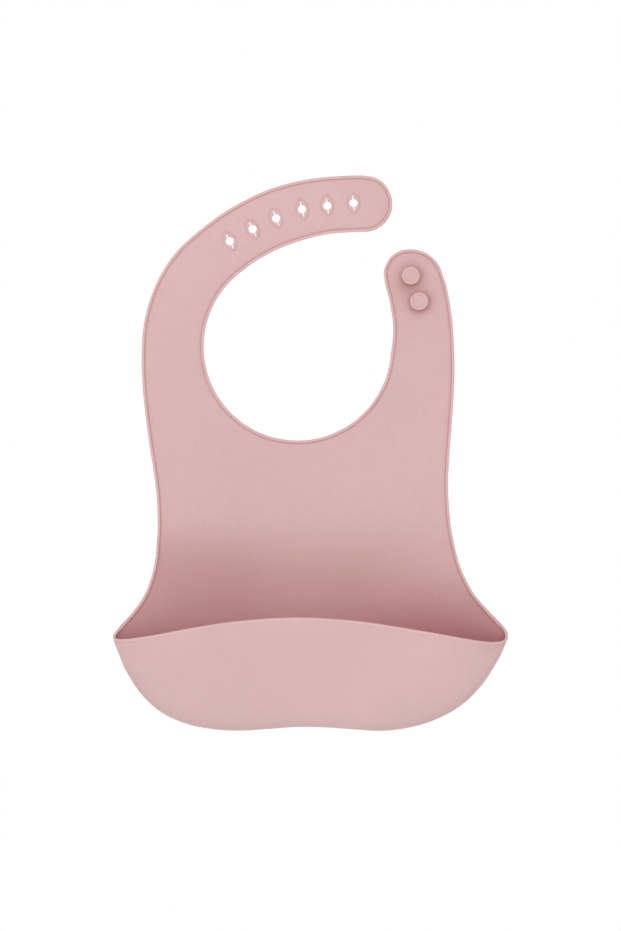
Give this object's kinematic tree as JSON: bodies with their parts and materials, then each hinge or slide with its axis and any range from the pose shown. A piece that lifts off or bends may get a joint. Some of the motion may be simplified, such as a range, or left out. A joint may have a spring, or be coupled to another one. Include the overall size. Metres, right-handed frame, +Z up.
{
  "type": "silicone bib",
  "caption": "Moulded silicone baby bib with a deep catch pocket, a beaded edge, a long wrap-round strap with keyhole slots and a short strap with button studs.",
  "frame": {"origin": "centre of the round neck opening, on the plane of the flat back face", "axes": "+Z up towards the straps, +X to the viewer's right when facing the front, -Y out of the front; the pocket hangs on the -Y side"},
  "size_m": [0.2236, 0.0459, 0.3171],
  "materials": {
    "silicone": "matte, fine satin",
    "silicone_stud": "matte, fine satin"
  },
  "bodies": {
    "chest": {"chest_panel": "silicone"},
    "belly": {"belly_panel": "silicone"},
    "lower_panel": {"pocket_back": "silicone", "pocket_floor": "silicone", "pocket_left_end": "silicone", "pocket_right_end": "silicone"},
    "pocket_wall": {"pocket_front": "silicone"},
    "long_root": {"long_strap_root": "silicone"},
    "long_bend": {"long_strap_bend": "silicone"},
    "long_slots_inner": {"long_strap_slots_inner": "silicone"},
    "long_slots_outer": {"long_strap_slots_outer": "silicone"},
    "short_root": {"short_strap_root": "silicone"},
    "short_tab": {"short_strap_tab": "silicone", "upper_stud": "silicone_stud", "lower_stud": "silicone_stud"}
  },
  "joints": [
    {"name": "long_shoulder", "type": "hinge", "parent": "chest", "child": "long_root", "pos_m": [-0.0714, -0.0009, 0.003], "axis": [-1, 0, 0], "range_deg": [-20, 45], "stiffness_Nm_per_rad": 0.01},
    {"name": "long_shoulder_upper", "type": "hinge", "parent": "long_root", "child": "long_bend", "pos_m": [-0.0692, -0.0009, 0.0179], "axis": [-0.9945, 0, 0.1045], "range_deg": [-20, 45], "stiffness_Nm_per_rad": 0.01},
    {"name": "long_curl_inner", "type": "hinge", "parent": "long_bend", "child": "long_slots_inner", "pos_m": [-0.0544, -0.0009, 0.0457], "axis": [-0.766, 0, 0.6428], "range_deg": [-8, 18], "stiffness_Nm_per_rad": 0.01},
    {"name": "long_curl_outer", "type": "hinge", "parent": "long_slots_inner", "child": "long_slots_outer", "pos_m": [-0.0047, -0.0009, 0.0763], "axis": [-0.3289, 0, 0.9444], "range_deg": [-8, 18], "stiffness_Nm_per_rad": 0.01},
    {"name": "short_shoulder", "type": "hinge", "parent": "chest", "child": "short_root", "pos_m": [0.0722, -0.0009, 0.003], "axis": [-1, 0, 0], "range_deg": [-20, 45], "stiffness_Nm_per_rad": 0.01},
    {"name": "short_shoulder_upper", "type": "hinge", "parent": "short_root", "child": "short_tab", "pos_m": [0.0717, -0.0009, 0.016], "axis": [-0.9945, 0, -0.1045], "range_deg": [-20, 45], "stiffness_Nm_per_rad": 0.01},
    {"name": "waist_fold", "type": "hinge", "parent": "chest", "child": "belly", "pos_m": [0.002, -0.0009, -0.07], "axis": [1, 0, 0], "range_deg": [-45, 45], "stiffness_Nm_per_rad": 0.05},
    {"name": "waist_fold_lower", "type": "hinge", "parent": "belly", "child": "lower_panel", "pos_m": [0.0038, -0.0009, -0.1], "axis": [1, 0, 0], "range_deg": [-45, 45], "stiffness_Nm_per_rad": 0.05},
    {"name": "pocket_wall_flex", "type": "hinge", "parent": "lower_panel", "child": "pocket_wall", "pos_m": [0.0075, -0.03712, -0.18983], "axis": [-1, 0, 0], "range_deg": [-15, 45], "stiffness_Nm_per_rad": 0.1}
  ],
  "couplings": [
    {"joint": "long_shoulder_upper", "follows": "long_shoulder", "ratio": 1},
    {"joint": "long_curl_inner", "follows": "long_shoulder", "ratio": 0.4},
    {"joint": "long_curl_outer", "follows": "long_shoulder", "ratio": 0.4},
    {"joint": "short_shoulder_upper", "follows": "short_shoulder", "ratio": 1},
    {"joint": "waist_fold_lower", "follows": "waist_fold", "ratio": 1}
  ]
}
